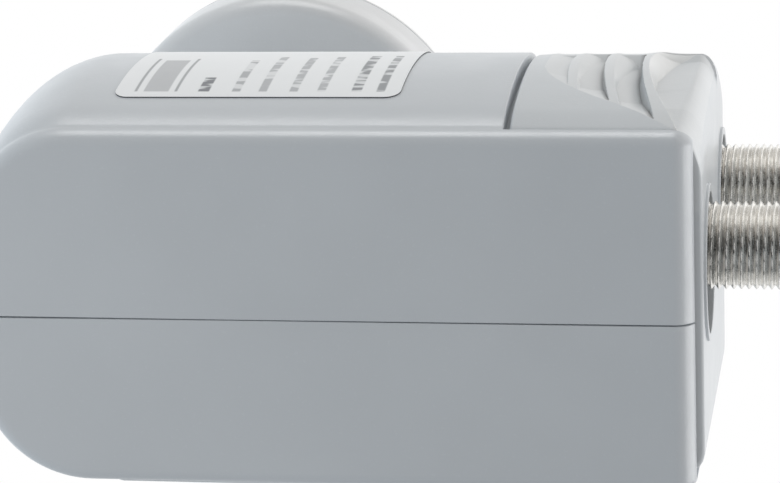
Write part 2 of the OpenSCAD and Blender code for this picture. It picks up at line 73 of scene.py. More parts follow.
# Weather slide: how far its end stands out, plate's edge, end plane, sink below the housing, running gap,
# limits along the depth, plain side, and the sleeve's top, thickness and near side
END_PROUD = 0.9
Z_PLATE, Z_OUT = -35.73, Z_END - END_PROUD
SINK, SLIDE_GAP = 0.28, 0.3
SLIDE_Y = (-46.3, -9.7)
SLIDE_PLAIN = -(PLAIN - WALL - SLIDE_GAP)
Z_SLEEVE, SLEEVE_T, SLEEVE_X = -31.3, 1.3, 14.0
# Roundings of its edges: plain side, end, near side and far side
ROUND_PLAIN, ROUND_END, ROUND_NEAR, ROUND_FAR = 3.0, 0.05, 0.5, 2.5
# Line that the slide's rays start from
RAY_X, RAY_Z, RAY_LIMIT = 2.0, -44.0, 34.0

# Outputs: thread and chamfer; and the rings round them: inner and outer radius, height, width over length
PORT_X, PORT_Y = 6.0, (-38.6, -15.7)
THREAD_R, PITCH, THREAD_DEPTH, CHAMFER = 4.66, 25.4 / 32, 0.42, 0.5
THREAD_END = Z_OUT - 11.0
RING_IN, RING_OUT, RING_H, RING_FLAT = 7.7, 8.52, 0.3, 0.80
RING_X = PORT_X - 1.93

# Horn: radius, rounding of its back edge, length of its side, rise of its front
SHROUD_R, SHROUD_EDGE, SHROUD_SIDE, DOME = 22.6, 1.9, 6.3, 2.2
Y_SHROUD = 7.0

# Label: limits, corner radius and thickness
LABEL_Z, LABEL_Y = (-23.12, 7.96), (-41.2, -13.2)
LABEL_CORNER, LABEL_T = 1.6, 0.13


def put(name, verts, faces, body, mats, smooth=True, face_mat=None):
    """Makes one mesh object from points in millimetres and hands it to the frame's body."""
    mesh = bpy.data.meshes.new(name)
    mesh.from_pydata((np.asarray(verts, float) * MM).tolist(), [], [list(map(int, f)) for f in faces])
    mesh.update()
    for m in mats:
        mesh.materials.append(m)
    mesh.polygons.foreach_set("use_smooth", [smooth] * len(mesh.polygons))
    if face_mat is not None:
        mesh.polygons.foreach_set("material_index", list(map(int, face_mat)))
    obj = bpy.data.objects.new(name, mesh)
    bpy.context.scene.collection.objects.link(obj)
    if body:
        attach(obj, body)
    return obj


class Sheet:
    """Collects grids of points into one mesh."""

    def __init__(self):
        self.v, self.f, self.m = [], [], []

    def grid(self, pts, keep=None, closed=False, mat=0):
        """Adds a grid of points (rows, columns, 3) as quads; keep masks the quads, closed joins the last
        column to the first."""
        rows, cols = pts.shape[:2]
        base = len(self.v)
        self.v.extend(pts.reshape(-1, 3).tolist())
        i, j = np.meshgrid(np.arange(rows - 1), np.arange(cols if closed else cols - 1), indexing="ij")
        j2 = (j + 1) % cols
        q = np.stack([i * cols + j, i * cols + j2, (i + 1) * cols + j2, (i + 1) * cols + j], -1)
        q = q.reshape(-1, 4)
        if keep is not None:
            q = q[keep.reshape(-1)]
        self.f.extend((q + base).tolist())
        self.m.extend([mat] * len(q))

    def obj(self, name, body, mats, sharp):
        """Makes the object, joins points that meet, and smooths across angles below sharp degrees."""
        o = put(name, self.v, self.f, body, mats, True, self.m)
        bm = bmesh.new()
        bm.from_mesh(o.data)
        bmesh.ops.remove_doubles(bm, verts=bm.verts, dist=0.002 * MM)
        bmesh.ops.recalc_face_normals(bm, faces=bm.faces)
        bm.to_mesh(o.data)
        bm.free()
        o.data.set_sharp_from_angle(angle=np.radians(sharp))
        return o


def lip(sheet, edge, normal, out, radius, depth):
    """Rolls a surface's border over: a quarter circle of the given radius that starts at the border,
    leans towards out and turns to run straight down against the normal for the given depth."""
    a = np.linspace(0, np.pi / 2, 5)[:, None, None]
    rows = edge + out * radius * np.sin(a) - normal * radius * (1 - np.cos(a))
    sheet.grid(np.concatenate([rows, rows[-1:] - normal * depth], 0))


def outward(line, side=1):
    """Unit normals of a line that runs along the depth, square to it and level."""
    t = np.gradient(line, axis=0)
    n = np.stack([t[:, 1], -t[:, 0], 0 * t[:, 0]], -1) * side
    return n / (np.linalg.norm(n, axis=1)[:, None] + 1e-12)


# The housing's section across its length: centres of the arch and of the front corner inside it
ARCH_C = np.array([RIDGE - ARCH_R, Y_BACK + ARCH_AT])
FRONT_RUN = (Y_FRONT - FRONT_R) - ARCH_C[1]
FRONT_C = np.array([ARCH_C[0] + np.sqrt((ARCH_R - FRONT_R) ** 2 - FRONT_RUN ** 2), Y_FRONT - FRONT_R])


def shoulder_centre():
    """Centre of the shoulder, which touches the arch from inside and passes through the top of the edge's
    rounding: it lies ARCH_R - SHOULDER_R from the arch's centre and SHOULDER_R from that point."""
    to_edge = np.array([LABEL_SIDE - ARCH_C[0], Y_BACK + EDGE_R - ARCH_C[1]])
    far, near = np.linalg.norm(to_edge), ARCH_R - SHOULDER_R
    way = to_edge / far
    along = (far * far + near * near - SHOULDER_R ** 2) / (2 * far)
    return ARCH_C + way * along + np.array([-way[1], way[0]]) * np.sqrt(near * near - along * along)


SHOULDER_C = shoulder_centre()


def label_height(y):
    """Height of the label side at depth y: back rounding, shoulder, arch, then the front corner."""
    y = np.asarray(y, float)
    back = Y_BACK + EDGE_R
    y1 = ARCH_C[1] + ARCH_R * (SHOULDER_C[1] - ARCH_C[1]) / (ARCH_R - SHOULDER_R)
    y2 = ARCH_C[1] + ARCH_R * (FRONT_C[1] - ARCH_C[1]) / (ARCH_R - FRONT_R)
    edge = LABEL_SIDE - EDGE_R + np.sqrt(np.clip(EDGE_R ** 2 - (back - y) ** 2, 0, None))
    shoulder = SHOULDER_C[0] + np.sqrt(np.clip(SHOULDER_R ** 2 - (y - SHOULDER_C[1]) ** 2, 0, None))
    arch = ARCH_C[0] + np.sqrt(np.clip(ARCH_R ** 2 - (y - ARCH_C[1]) ** 2, 0, None))
    front = FRONT_C[0] + np.sqrt(np.clip(FRONT_R ** 2 - (y - FRONT_C[1]) ** 2, 0, None))
    return np.where(y < back, edge, np.where(y < y1, shoulder, np.where(y < y2, arch, front)))


def rounded(y, low, high, r_low, r_high):
    """How far a side drops back at depth y from a quarter circle at either end."""
    a = np.clip((low + r_low) - y, 0, r_low)
    b = np.clip(y - (high - r_high), 0, r_high)
    return r_low - np.sqrt(r_low ** 2 - a ** 2) + r_high - np.sqrt(r_high ** 2 - b ** 2)


def depth_rows():
    """Depths from the back to the front, close together where the section turns."""
    shoulder = -44.0
    back = Y_BACK + EDGE_R * (1 - np.cos(np.linspace(0, np.pi / 2, 10)))
    near = np.linspace(Y_BACK + EDGE_R, shoulder, 8)[1:]
    arch = np.linspace(shoulder, FRONT_C[1], 26)[1:]
    front = FRONT_C[1] + FRONT_R * np.sin(np.linspace(0, np.pi / 2, 40)[1:])
    return np.concatenate([back, near, arch, front])


def part_gap(z):
    """Where the parting edge's skin ends: half the gap at this height, plus the edge's radius."""
    return PART_R + np.interp(z, *HALF_GAP)


def shell_side(side):
    """Outer skin of one half of the housing as a grid: each row is a depth y, each column a place round
    the outline, which runs up the side, round the crown corner and across the top to the parting plane."""
    y = depth_rows()
    drop_top = rounded(y, Y_BACK, Y_FRONT, EDGE_R, FRONT_EDGE_R)
    if side > 0:
        x_side = label_height(y)
    else:
        x_side = PLAIN - rounded(y, Y_BACK, Y_FRONT, EDGE_R, FRONT_EDGE_R)
    z_top = Z_TOP - drop_top
    r = np.minimum(CROWN_R - drop_top, x_side - 0.6)
    z_cols = np.concatenate([[Z_END + END_R * np.sin(END_TURN)], np.linspace(Z_END + 3, Z_PLATE - 1, 28),
                             [Z_SLOT, Z_SLOT + LIP], np.linspace(Z_SLOT + 1, 9.0, 50)])
    cols = [np.stack([x_side, y, np.full_like(y, z)], -1) for z in z_cols]
    for a in np.linspace(0, np.pi / 2, CROWN_COLS):
        cols.append(np.stack([x_side - r * (1 - np.cos(a)), y, z_top - r + r * np.sin(a)], -1))
    for k in np.linspace(0, 1, TOP_COLS)[1:]:
        cols.append(np.stack([(x_side - r) * (1 - k) + part_gap(z_top) * k, y, z_top], -1))
    pts = np.stack(cols, 1)
    pts[..., 0] *= side
    return y, z_cols, pts


def face_rows(row, side):
    """Flat face between a row of the skin and the parting plane."""
    k = np.linspace(0, 1, 6)[:, None]
    rows = np.repeat(row[None], len(k), 0)
    rows[..., 0] = row[None, :, 0] * (1 - k) + side * part_gap(row[None, :, 2]) * k
    return rows


def slide_floor():
    """Floor that the slide's plate runs over: the label side's own curve FLOOR_IN below the surface, from
    behind the end to under the slot, with a short wall down from its two long edges."""
    wall = 6.0
    y = np.linspace(SLIDE_Y[0] + 1.2, SLIDE_Y[1] - 2.0, 60)
    x = label_height(y) - FLOOR_IN
    y = np.concatenate([y[:1], y, y[-1:]])
    x = np.concatenate([x[:1] - wall, x, x[-1:] - wall])
    z = np.linspace(Z_END + 3.4, Z_SLOT + 2.5, 24)
    X, Z = np.meshgrid(x, z)
    return np.stack([X, np.repeat(y[None], len(z), 0), Z], -1)


def raised_panel():
    """Plain side's raised panel: its height follows a quarter sine of the distance from its border, over
    the margin PANEL_EDGE, so that the edge is rolled and the top is flat."""
    e = PANEL_EDGE * np.sin(np.linspace(0, np.pi / 2, 9)) ** 2

    def spaced(limits, n):
        lo, hi = limits
        return np.concatenate([lo + e, np.linspace(lo + PANEL_EDGE, hi - PANEL_EDGE, n)[1:-1], (hi - e)[::-1]])

    Y, Z = np.meshgrid(spaced(PANEL_Y, 26), spaced(PANEL_Z, 46))
    d = smin(np.minimum(Y - PANEL_Y[0], PANEL_Y[1] - Y), np.minimum(Z - PANEL_Z[0], PANEL_Z[1] - Z), PANEL_CORNER)
    h = PANEL * np.sin(np.clip(d / PANEL_EDGE, 0, 1) * np.pi / 2)
    return np.stack([-(PLAIN - PANEL_SUNK + h), Y, Z], -1)


def parting_edge(sheet, side, pts, back, front, up):
    """Rolls a half's border into the parting gap: up the back face, over the top, down the front face.
    up is how many points lie on either face."""
    line = np.concatenate([back[-1, :up], pts[1:, -1], front[-1, :up][::-1]], 0)
    line[up - 1] = pts[0, -1]
    n = np.zeros_like(line)
    n[:up, 1] = -1
    n[-up:, 1] = 1
    mid = slice(up, len(line) - up)
    t = np.gradient(line, axis=0)
    n[mid] = np.stack([0 * t[mid, 0], -t[mid, 2], t[mid, 1]], -1)
    n /= np.linalg.norm(n, axis=1)[:, None] + 1e-12
    lip(sheet, line, n, np.array([-side, 0.0, 0.0]) + 0 * line, PART_R, PART_DEPTH)


def output_end(sheet, side, ends, parts):
    """Rolls the housing's end inwards over END_TURN of a circle, with a small step and an inner wall.
    ends is the skin's last line round the housing, parts are the stretches of it that are closed."""
    normal = outward(ends, side)
    down = np.array([0, 0, -1.0])
    a = np.linspace(0, END_TURN, 9)[:, None, None]
    for part in parts:
        e, m = ends[part], normal[part]
        roll = e + down * END_R * np.sin(a) - m * END_R * (1 - np.cos(a))
        foot = roll[-1:] - m * END_STEP + down * 0.01
        sheet.grid(np.concatenate([roll, foot, foot - down * END_WALL], 0))
        for j in (0, -1):
            if abs(e[j, 0]) < 0.3:
                face = m[j] * np.cos(a[:, 0]) + down * np.sin(a[:, 0])
                lip(sheet, roll[:, j], face, np.array([-side, 0.0, 0.0]) + 0 * face, PART_R, PART_DEPTH)


def slide_opening(y, pts, skin_cols):
    """Moves the two rows of the skin nearest to the slide's long sides onto the opening's edges, and
    returns their numbers."""
    rows = []
    for edge in (SLIDE_Y[0] - SLIDE_GAP - LIP, SLIDE_Y[1] + SLIDE_GAP + LIP):
        i = int(np.argmin(abs(y - edge)))
        pts[i, :, 1] = edge
        pts[i, :skin_cols, 0] += label_height(edge) - label_height(y[i])
        y[i] = edge
        rows.append(i)
    return rows


def slot_edges(sheet, pts, i0, i1, slot_col):
    """Rolled edge at the slot and down both long sides of the opening, with a narrow ledge in the slot."""
    edge = pts[i0:i1 + 1, slot_col]
    n = outward(edge)
    lip(sheet, edge, n, np.array([0, 0, -1.0]) + 0 * edge, LIP, SLOT_DEPTH)
    for i, way in ((i0, 1), (i1, -1)):
        side_edge = pts[i, :slot_col + 1]
        t = pts[i + 1, 0] - pts[i - 1, 0]
        t /= np.linalg.norm(t)
        across = np.array([t[1], -t[0], 0])
        lip(sheet, side_edge, across + 0 * side_edge, way * t + 0 * side_edge, LIP, SLOT_DEPTH)
    flat = pts[i0 + 1:i1, slot_col] * [1, 1, 0]
    steps = ((LEDGE_IN, 0.35), (LEDGE_IN, 0.02), (LEDGE_IN, -0.5), (FLOOR_IN, -0.5))
    sheet.grid(np.stack([flat - depth * n[1:-1] + [0, 0, Z_SLOT + z] for depth, z in steps], 0))


def build_shell(name, side, mats):
    """One half of the housing: its skin, the flat faces at back and front, the rolled edges, and on the
    label side the opening for the slide, on the plain side the raised panel."""
    y, z_cols, pts = shell_side(side)
    s = Sheet()
    keep = np.ones((pts.shape[0] - 1, pts.shape[1] - 1), bool)
    slot_col = int(np.where(z_cols == Z_SLOT + LIP)[0][0])
    up = len(z_cols)
    if side > 0:
        i0, i1 = slide_opening(y, pts, up + CROWN_COLS)
        keep[i0:i1, :slot_col] = False
    s.grid(pts, keep)
    back, front = face_rows(pts[0], side), face_rows(pts[-1], side)
    s.grid(back)
    s.grid(front)
    parting_edge(s, side, pts, back, front, up)
    ends = np.concatenate([back[::-1, 0], pts[1:, 0], front[1:, 0]], 0)
    if side > 0:
        nb = len(back)
        output_end(s, side, ends, (slice(0, nb + i0), slice(nb + i1 - 1, len(ends))))
        slot_edges(s, pts, i0, i1, slot_col)
        s.grid(slide_floor())
    else:
        output_end(s, side, ends, (slice(0, len(ends)),))
        s.grid(raised_panel())
    return s.obj(name, "housing", mats, 40)


def lathe(profile, centre, axis, n):
    """Turns a profile of (radius, along) points about an axis through the centre."""
    a = np.linspace(0, 2 * np.pi, n, endpoint=False)
    r, h = np.asarray(profile, float).T
    u = {"Y": ((1, 0, 0), (0, 0, 1), (0, 1, 0)), "Z": ((1, 0, 0), (0, 1, 0), (0, 0, 1))}[axis]
    e1, e2, e3 = (np.array(k, float) for k in u)
    ring = np.cos(a)[:, None] * e1 + np.sin(a)[:, None] * e2
    return np.asarray(centre, float) + r[:, None, None] * ring + h[:, None, None] * e3


def arc(cx, cy, r, a0, a1, n):
    """Points on a circle from angle a0 to a1 in degrees."""
    a = np.radians(np.linspace(a0, a1, n))
    return [(cx + r * np.cos(k), cy + r * np.sin(k)) for k in a]


def smax(a, b, k):
    """The larger of two values with a rounded change-over of width k."""
    h = np.clip(0.5 + 0.5 * (a - b) / k, 0, 1)
    return b + (a - b) * h + k * h * (1 - h)


def smin(a, b, k):
    """The smaller of two values with a rounded change-over of width k."""
    return -smax(-a, -b, k)


# Grip of the slide. along runs up the housing from its end, deep from the flat back. Each crest is a
# shallow bow: along = top - bend * (deep - middle) squared. A cell lies between a crest and the band below
# it; depth is its floor's, ramp its slope at the near edge, far its far limit, runs the width of its slope
# below the crest, by depth. FLOOR_START is the floor's share of the depth at the crest.
FLOOR_START, FAR_SLOPE, WALL_SLOPE = 0.32, 0.75, 5.0
# Rise of the grip's far half above the plate, over each crest and over the hollow's rim: height and width
SWELL, CREST_RISE, RIM_RISE = 0.11, (0.07, 0.5), (0.2, 1.3)
NEAR_EDGE = np.array([(-2, 0.4), (1.3, 1.4), (4.3, 3.35), (6.0, 4.6), (7.6, 5.75), (9.0, 6.8), (10.7, 8.0),
                      (12.4, 9.5), (14.0, 11.2), (15.4, 13.2), (16.4, 15.2), (17.0, 17.5), (17.2, 20.5)]).T
CELLS = (
    dict(crest=(16.7, 0.0075, 20), band=(14.35, 0.0075, 20), depth=0.30, ramp=0.10, far=24.4,
         runs=((12, 17, 24), (0.5, 1.2, 2.0))),
    dict(crest=(13.3, 0.0075, 20), band=(10.65, 0.0072, 22), depth=1.0, ramp=0.22, far=26.0,
         runs=((13, 19, 24), (0.16, 1.2, 1.7))),
    dict(crest=(9.6, 0.0072, 22), band=(6.6, 0.0072, 22), depth=1.7, ramp=0.30, far=24.8,
         runs=((11.5, 14.2, 17.9, 22.8), (0.15, 0.6, 1.5, 2.4))),
)
# Thumb hollow: its rim as a crest, the slope's width and the floor's height by depth, its far limit, and
# the height of the edge that it rolls over: at the near side, the rise from there and how fast it comes
RIM = (5.85, 0.0115, 21)
RIM_RUNS = ((9.8, 12.0, 14.82, 16.27, 18.12, 19.91, 22.97, 25.41, 25.97, 27.0),
            (0.18, 0.34, 0.5, 0.62, 0.9, 1.4, 2.04, 2.59, 3.39, 4.19))
FLOOR_X = ((1.7, 8, 15, 20, 23, 25.4, 26.6), (20.35, 21.2, 21.72, 21.95, 22.02, 21.98, 22.5))
HOLLOW_FAR = 26.6
FOOT_NEAR, FOOT_RISE, FOOT_RUN = 14.1, 4.4, 7.0


def bow(c, deep):
    """Place of a crest at this depth."""
    return c[0] - c[1] * (deep - c[2]) ** 2


def grip_depth(along, deep):
    """How far the cells are cut below the plate. Each floor starts at a crest, falls towards the outputs
    and ends at the slanting wall of the next band; it rises to nothing at the grip's near and far edges."""
    near = np.interp(along, NEAR_EDGE[0], NEAR_EDGE[1])
    cut = np.zeros_like(along)
    for c in CELLS:
        top, end = bow(c["crest"], deep), bow(c["band"], deep)
        u = np.clip((top - along) / np.interp(deep, *c["runs"]), 0, 1)
        t = np.clip((top - along) / (top - end), 0, 1)
        floor = c["depth"] * (FLOOR_START + (1 - FLOOR_START) * t ** 1.5) * u
        edge = np.minimum(c["ramp"] * (deep - near), FAR_SLOPE * (c["far"] - deep))
        wall = (along - end) * WALL_SLOPE
        d = np.minimum(np.minimum(floor, edge), wall)
        cut = np.maximum(cut, np.where((along < top) & (along > end), d, 0))
    return np.clip(cut, 0, None)


def grip_rise(along, deep):
    """How far the far half of the grip stands above the plate: a slight swell and a bell curve on each
    crest and on the hollow's rim, all fading out above the grip and towards its near edge."""
    ends = np.clip((19.0 - along) / 2.5, 0, 1) * np.clip((deep - 11) / 10, 0, 1)
    swell = SWELL * np.ones_like(along)
    high, wide = CREST_RISE
    for c in CELLS:
        swell = swell + high * np.exp(-((along - bow(c["crest"], deep) - 0.5) / wide) ** 2)
    high, wide = RIM_RISE
    swell = swell + high * np.exp(-((along - bow(RIM, deep) + 0.3) / wide) ** 2)
    return ends * swell


def hollow_top(along, deep, plate):
    """Height of the thumb hollow: a nearly flat floor that dips a little towards the rim and rolls over
    the end, reached from the rim by a slope that widens from a thin wall to a broad facet."""
    floor = np.minimum(np.interp(deep, *FLOOR_X), plate - 0.12)
    floor = floor - 0.09 * np.clip(along - 0.8, 0, 4) * np.clip((deep - 8) / 6, 0, 1)
    foot = FOOT_NEAR + FOOT_RISE * (1 - np.exp(-np.clip(deep - 1.7, 0, None) / FOOT_RUN))
    wide = 2.9 - 0.05 * np.minimum(deep, 20.0)
    k = np.clip((wide - END_PROUD - along) / wide, 0, 1)
    floor = foot + (floor - foot) * np.sqrt(1 - k ** 2) ** 1.05
    rim = bow(RIM, deep)
    u = np.clip((rim - along) / np.interp(deep, *RIM_RUNS), 0, 1)
    return plate - (plate - floor) * u


def slide_solid(x, y, z):
    """Signed value of the slide's outside: negative inside. The label side lies SINK below the housing,
    the end is a flat plane, and past the thumb hollow the edge between them is rounded off."""
    along, deep = z - Z_END, y - Y_BACK
    plate = label_height(np.clip(y, Y_BACK + 1.5, Y_FRONT)) - SINK
    plate = plate + grip_rise(along, deep)
    top = x - (plate - grip_depth(along, deep))
    wide, high = 1.7, 3.0
    k = np.clip((wide - END_PROUD - along) / wide, 0, 1)
    top = top + np.where(deep > HOLLOW_FAR, high * (1 - np.sqrt(np.clip(1 - k ** 2, 0, 1))), 0)
    inside_rim = (along < bow(RIM, deep)) & (deep < HOLLOW_FAR + 0.12 * (x - 21))
    top = np.where(inside_rim, np.maximum(top, x - hollow_top(along, deep, plate)), top)
    end = Z_OUT - z
    plain = SLIDE_PLAIN - x
    body = np.maximum(top, smax(smax(plain, end, ROUND_PLAIN), end, ROUND_END))
    near = SLIDE_Y[0] - y
    far = y - SLIDE_Y[1]
    return smax(smax(body, near, ROUND_NEAR), far, ROUND_FAR)


def ray_ends(angle, y):
    """How far each ray of the slide runs before it leaves the solid: coarse steps find the first point
    outside, and halving the last step sets it."""
    dx, dz = np.cos(angle), np.sin(angle)
    hit = np.full_like(angle, RAY_LIMIT)
    found = np.zeros(angle.shape, bool)
    steps = np.linspace(1.0, RAY_LIMIT, 160)
    for r in steps:
        new = (slide_solid(RAY_X + r * dx, y, RAY_Z + r * dz) >= 0) & ~found
        hit[new] = r
        found |= new
    lo, hi = hit - (steps[1] - steps[0]), hit
    for _ in range(18):
        mid = (lo + hi) / 2
        inside = slide_solid(RAY_X + mid * dx, y, RAY_Z + mid * dz) < 0
        lo = np.where(inside, mid, lo)
        hi = np.where(inside, hi, mid)
    return (lo + hi) / 2


def slide_skin():
    """Grid of the slide's outside: each column is a depth, each row an angle round the line in the slide,
    from the slot over the label side to the end's corner, round the end and up the plain side."""
    first_y, last_y = SLIDE_Y[0] + 0.01, SLIDE_Y[1] - 0.01
    e = (1 - np.cos(np.linspace(0, np.pi / 2, 7))) * 0.8
    grip_end, turn = -21, SLIDE_Y[1] - 2.5
    ys = np.concatenate([first_y + e, np.linspace(first_y + 0.8, grip_end, 205)[1:],
                         np.linspace(grip_end, turn, 22)[1:], np.linspace(turn, last_y, 12)[1:]])
    first = np.arctan2(Z_PLATE - RAY_Z, label_height(ys) - SINK - RAY_X)
    corner_x = 19.0
    corner = -np.arctan2(RAY_Z - Z_OUT, corner_x - RAY_X)
    under = np.radians(-150)
    last = np.radians(-180) - np.arctan2(Z_SLEEVE - RAY_Z, RAY_X - SLIDE_PLAIN)
    s = [np.linspace(0, 1, 230), 1 + np.linspace(0, 1, 70)[1:], 2 + np.linspace(0, 1, 20)[1:]]
    s = np.concatenate(s)[:, None]
    angle = np.where(s < 1, first[None] + (corner - first[None]) * s,
                     np.where(s < 2, corner + (under - corner) * (s - 1), under + (last - under) * (s - 2)))
    y = np.repeat(ys[None], len(s), 0)
    r = ray_ends(angle, y)
    return np.stack([RAY_X + r * np.cos(angle), y, RAY_Z + r * np.sin(angle)], -1)


def slide_walls(sheet, skin):
    """Plate's rolled edge at the slot and its back, the long sides up to the sleeve's top, which stays
    inside the housing as the slide runs, and the sleeve's rim and inner wall."""
    edge = skin[0]
    n = outward(edge)
    long, deep, back = 0.36, 0.42, 2.8
    turn = np.linspace(0, np.pi / 2, 7)[:, None, None]
    rolled = edge + np.array([0, 0, long]) * np.sin(turn) - deep * n * (1 - np.cos(turn))
    sheet.grid(np.concatenate([rolled, rolled[-1:] - n * back], 0))
    for j in (0, -1):
        line = skin[:, j]
        hub = np.array([SLEEVE_X, line[0, 1], Z_SLEEVE])
        sheet.grid(np.stack([line + (hub - line) * k for k in (0.0, 0.35, 0.7, 1.0)], 0))
    near, far = SLIDE_Y
    outer = np.array([(SLEEVE_X, near), (SLIDE_PLAIN + 1, near), (SLIDE_PLAIN, near + 1), (SLIDE_PLAIN, far - 1),
                      (SLIDE_PLAIN + 1, far), (SLEEVE_X, far)])
    half = 0.6
    inner = outer + np.array([(0, SLEEVE_T), (half, SLEEVE_T), (SLEEVE_T, half), (SLEEVE_T, -half),
                              (half, -SLEEVE_T), (0, -SLEEVE_T)])
    rows = [(outer, Z_SLEEVE), (inner, Z_SLEEVE), (inner, Z_OUT + 2.0)]
    sheet.grid(np.stack([np.column_stack([xy, np.full(len(xy), z)]) for xy, z in rows], 0))


def build_slide(mats):
    """Weather slide: its skin with two openings, its walls, and a turned ring round each opening that
    covers the opening's edge, squeezed to RING_FLAT along the depth."""
    skin = slide_skin()
    quad = (skin[:-1, :-1] + skin[1:, 1:]) / 2
    keep = np.ones(quad.shape[:2], bool)
    flat_end = quad[..., 2] < Z_OUT + 0.05
    for py in PORT_Y:
        hole = np.hypot(quad[..., 0] - RING_X, (quad[..., 1] - py) / RING_FLAT) < RING_OUT - 0.3
        keep &= ~(flat_end & hole)
    sh = Sheet()
    sh.grid(skin, keep)
    slide_walls(sh, skin)
    edge = 0.08
    for py in PORT_Y:
        prof = [(RING_OUT, 1.5), (RING_OUT, edge - RING_H), (RING_OUT - edge, -RING_H), (RING_IN + edge, -RING_H),
                (RING_IN, edge - RING_H), (RING_IN, 3.0)]
        ring = lathe(prof, (RING_X, py, Z_OUT), "Z", 96)
        ring[..., 1] = py + (ring[..., 1] - py) * RING_FLAT
        sh.grid(ring, closed=True)
    piece = sh.obj("slide_cover", "slide", mats, 35)
    # Painted shade and painted light of the grip, kept as point attributes.
    mark_painted_shade_and_light(piece.data)
    return piece


def mark_painted_shade_and_light(mesh):
    """Writes the grip's painted shade: most at the lower wall of each cell, where the cells' shadows
    fall, fading to nothing over 0.35 + 0.3 * depth of its floor, and less in the shallow cells. Also writes
    its painted light: 1 on the hollow's lit slope, 0.45 on the grip above it, 0.3 on the hollow's floor,
    nothing elsewhere."""
    co = np.empty(len(mesh.vertices) * 3)
    mesh.vertices.foreach_get("co", co)
    x, y, z = co.reshape(-1, 3).T / MM
    along, deep = z - Z_END, y - Y_BACK
    # Painted shade: darkest at the foot of each cell's lower wall, where the cells' shadows fall.
    painted_shade = np.zeros(len(x))
    cut = np.clip(grip_depth(along, deep) / 0.03, 0, 1)
    for c in CELLS:
        top, end = bow(c["crest"], deep), bow(c["band"], deep)
        inside = (along < top) & (along > end - 0.05) & (deep < c["far"]) & (x > 14)
        near = np.clip(1 - (along - end) / (0.35 + 0.3 * c["depth"]), 0, 1)
        painted_shade = np.maximum(painted_shade, np.where(inside, near * cut * np.clip(c["depth"] / 0.8, 0, 1), 0))
    mesh.attributes.new("painted_shade", "FLOAT", "POINT").data.foreach_set("value", painted_shade.astype(np.float32))
    # Painted light: paler on the thumb hollow's slope, which the lamps light brightest, and less so on the grip
    # above it and on the hollow's floor.
    rim = bow(RIM, deep)
    q = (rim - along) / np.interp(deep, *RIM_RUNS)
    grip = (deep > np.interp(along, NEAR_EDGE[0], NEAR_EDGE[1])) & (deep < 30) & (x > 12) & (z > Z_OUT + 0.3)
    painted_light = np.where(q > 1.05, 0.3, np.where(q > 0.02, 1.0, np.where(along < 17, 0.45, 0.0))) * grip
    mesh.attributes.new("painted_light", "FLOAT", "POINT").data.foreach_set("value", painted_light.astype(np.float32))


def build_output(name, py, mats):
    """Threaded barrel: the radius follows a saw, cut flat at its crests and roots, of the helix angle plus
    the height over the pitch, with a chamfer at the mouth, a rolled mouth and a stepped bore."""
    z0, n = THREAD_END, 96
    a = np.linspace(0, 2 * np.pi, n, endpoint=False)
    z = np.concatenate([np.linspace(z0, z0 + 14.5, 360), [Z_OUT + 14]])
    A, Z = np.meshgrid(a, z)
    phase = (Z / PITCH + A / (2 * np.pi)) % 1.0
    tri = 1 - abs(2 * phase - 1)
    cut = np.clip(tri * 1.25 - 0.1, 0, 1)
    lead = np.clip((Z - z0) / 0.7, 0, 1)
    r = np.minimum(THREAD_R - THREAD_DEPTH * (1 - cut), THREAD_R - CHAMFER * (1 - lead))
    s = Sheet()
    s.grid(np.stack([PORT_X + r * np.cos(A), py + r * np.sin(A), Z], -1), closed=True)
    mouth = [(THREAD_R - CHAMFER, 0.0), (3.9, 0.0), (3.7, 0.1), (3.62, 0.3), (3.6, 3.0), (2.6, 3.0), (2.6, 6.0)]
    s.grid(lathe(mouth, (PORT_X, py, z0), "Z", n), closed=True)
    return s.obj(name, "housing", mats, 38)


def build_horn(mats):
    """Shroud with a flat back and rounded edge, straight side, and a shallow domed front with a seam. The
    dome is part of a sphere that rises DOME over the shroud's radius."""
    rim = SHROUD_EDGE + SHROUD_SIDE
    prof = [(10.5, 0.6), (11.0, 0.05), (11.5, 0.0), (16.0, 0.0), (SHROUD_R - SHROUD_EDGE, 0.0)]
    prof += arc(SHROUD_R - SHROUD_EDGE, SHROUD_EDGE, SHROUD_EDGE, -80, 0, 9)
    prof += [(SHROUD_R, rim - 0.15), (SHROUD_R - 0.12, rim), (SHROUD_R - 1.0, rim)]
    s = Sheet()
    s.grid(lathe(prof, (0, Y_SHROUD, 0), "Y", 160), closed=True)
    back = s.obj("horn_back", "housing", mats, 40)
    sphere = (SHROUD_R ** 2 + DOME ** 2) / (2 * DOME)
    prof = [(SHROUD_R - 1.0, 0.1), (SHROUD_R - 0.12, 0.1), (SHROUD_R, 0.22), (SHROUD_R, 0.6)]
    prof += arc(SHROUD_R - 0.5, 0.6, 0.5, 5, 80, 5)
    for r in np.linspace(SHROUD_R - 0.8, 0.05, 26):
        prof.append((r, 1.0 + DOME - (sphere - np.sqrt(sphere ** 2 - r ** 2)) - 0.02))
    s = Sheet()
    s.grid(lathe(prof, (0, Y_SHROUD + rim, 0), "Y", 160), closed=True)
    front = s.obj("horn_front", "housing", mats, 40)
    return back, front


